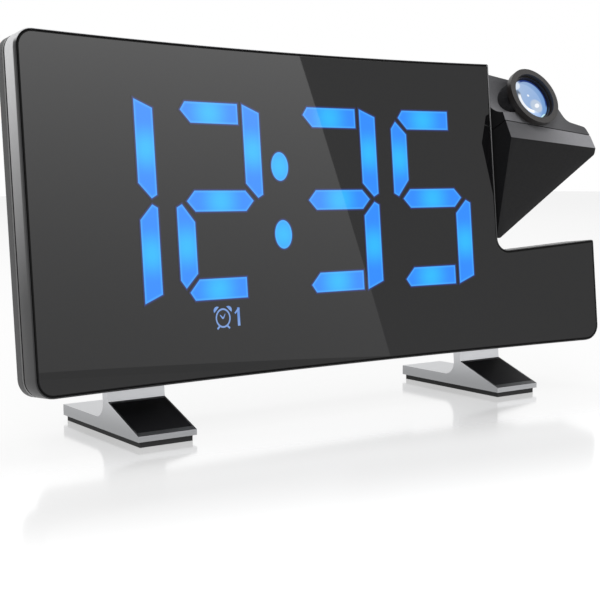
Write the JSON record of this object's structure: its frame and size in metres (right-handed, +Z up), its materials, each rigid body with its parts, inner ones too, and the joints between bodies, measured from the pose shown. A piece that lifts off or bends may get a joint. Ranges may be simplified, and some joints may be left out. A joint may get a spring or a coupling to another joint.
{
  "type": "projection alarm clock",
  "caption": "Wide curved-face digital alarm clock with lit seven-bar digits, a tilting projector head in a corner notch, rear controls and angled metal feet.",
  "frame": {"origin": "middle of the footprint, on the table under the rubber pads", "axes": "+X to the viewer's right along the face, +Y from the face to the back, +Z up"},
  "size_m": [0.187, 0.0449, 0.0992],
  "materials": {
    "panel": "high gloss black",
    "lit": "lit blue window",
    "unlit": "dark tinted window",
    "frame": "gloss black moulding",
    "cover": "fine grain black moulding",
    "light_box": "matt white moulding",
    "board": "green solder mask",
    "chip": "black resin",
    "lamp": "clear resin",
    "switch": "satin",
    "key": "fine grain black",
    "steel": "zinc plated",
    "speaker_frame": "black painted sheet",
    "magnet": "dark ferrite",
    "cone": "soft coated cone",
    "coin_cell": "polished steel can",
    "socket": "black moulding",
    "pin": "plated",
    "foot": "brushed silver",
    "insert": "black film",
    "pad": "matt",
    "bearing": "natural slippery plastic",
    "head": "satin gloss dark grey",
    "barrel": "black",
    "ring": "satin dark",
    "glass": "coated lens"
  },
  "bodies": {
    "housing": {"front_panel": "panel", "digit_1_lit": "lit", "digit_2_lit": "lit", "digit_3_lit": "lit", "digit_4_lit": "lit", "colon_lit": "lit", "alarm_sign_lit": "lit", "digit_bars_dark": "unlit", "bezel_frame": "frame", "rear_cover": "cover", "light_box": "light_box", "display_board": "board", "display_lamps": "lamp", "main_board": "board", "board_chips": "chip", "tact_switches": "switch", "speaker_frame": "speaker_frame", "speaker_magnet": "magnet", "speaker_cone": "cone", "battery_holder": "socket", "coin_cell": "coin_cell", "power_inlet": "socket", "inlet_pin": "pin", "charging_port": "steel", "port_tongue": "socket", "housing_screws": "steel", "foot_screws": "steel", "foot_left": "foot", "foot_right": "foot", "foot_insert_left": "insert", "foot_insert_right": "insert", "foot_pad_left": "pad", "foot_pad_right": "pad", "pivot_bush": "bearing", "friction_washer": "bearing"},
    "projector_head": {"head_shell": "head", "head_cap": "head", "lens_barrel": "barrel", "pivot_shaft": "steel", "condenser_lens": "glass", "image_slide": "glass", "light_duct": "socket", "lamp_board": "board", "projection_lamp": "lamp", "retaining_clip": "steel"},
    "focus_ring": {"focus_ring": "ring"},
    "lens_cell": {"lens_cell": "barrel", "objective_lens": "glass"},
    "snooze_bar": {"snooze_bar": "key"},
    "battery_lid": {"battery_lid": "cover"},
    "button_mode": {"button_mode": "key"},
    "button_set": {"button_set": "key"},
    "button_up": {"button_up": "key"},
    "button_down": {"button_down": "key"},
    "button_alarm": {"button_alarm": "key"},
    "button_projector": {"button_projector": "key"}
  },
  "joints": [
    {"name": "head_tilt", "type": "hinge", "parent": "housing", "child": "projector_head", "pos_m": [0.058, -0.00503, 0.07688], "axis": [-1, 0, 0], "range_deg": [-30, 150]},
    {"name": "focus_turn", "type": "hinge", "parent": "projector_head", "child": "focus_ring", "pos_m": [0.07032, -0.01476, 0.08887], "axis": [0, -0.8988, 0.4384], "range_deg": [-60, 60]},
    {"name": "lens_travel", "type": "slide", "parent": "projector_head", "child": "lens_cell", "axis": [0, -0.8988, 0.4384], "range_m": [-0.0006, 0.0006]},
    {"name": "snooze_press", "type": "slide", "parent": "housing", "child": "snooze_bar", "axis": [0, -0.0929, -0.9957], "range_m": [0, 0.0008], "stiffness_N_per_m": 400, "springref_m": -0.0006},
    {"name": "battery_lid_turn", "type": "hinge", "parent": "housing", "child": "battery_lid", "pos_m": [0.022, 0.01418, 0.05214], "axis": [0, 0.9957, -0.0929], "range_deg": [0, 60]},
    {"name": "mode_press", "type": "slide", "parent": "housing", "child": "button_mode", "axis": [0, -0.9957, 0.0929], "range_m": [0, 0.0006], "stiffness_N_per_m": 200, "springref_m": -0.0004},
    {"name": "set_press", "type": "slide", "parent": "housing", "child": "button_set", "axis": [0, -0.9957, 0.0929], "range_m": [0, 0.0006], "stiffness_N_per_m": 200, "springref_m": -0.0004},
    {"name": "up_press", "type": "slide", "parent": "housing", "child": "button_up", "axis": [0, -0.9957, 0.0929], "range_m": [0, 0.0006], "stiffness_N_per_m": 200, "springref_m": -0.0004},
    {"name": "down_press", "type": "slide", "parent": "housing", "child": "button_down", "axis": [0, -0.9957, 0.0929], "range_m": [0, 0.0006], "stiffness_N_per_m": 200, "springref_m": -0.0004},
    {"name": "alarm_press", "type": "slide", "parent": "housing", "child": "button_alarm", "axis": [0, -0.9957, 0.0929], "range_m": [0, 0.0006], "stiffness_N_per_m": 200, "springref_m": -0.0004},
    {"name": "projector_press", "type": "slide", "parent": "housing", "child": "button_projector", "axis": [0, -0.9957, 0.0929], "range_m": [0, 0.0006], "stiffness_N_per_m": 200, "springref_m": -0.0004}
  ],
  "couplings": [
    {"joint": "lens_travel", "follows": "focus_turn", "m_per_rad": 0.00057}
  ]
}
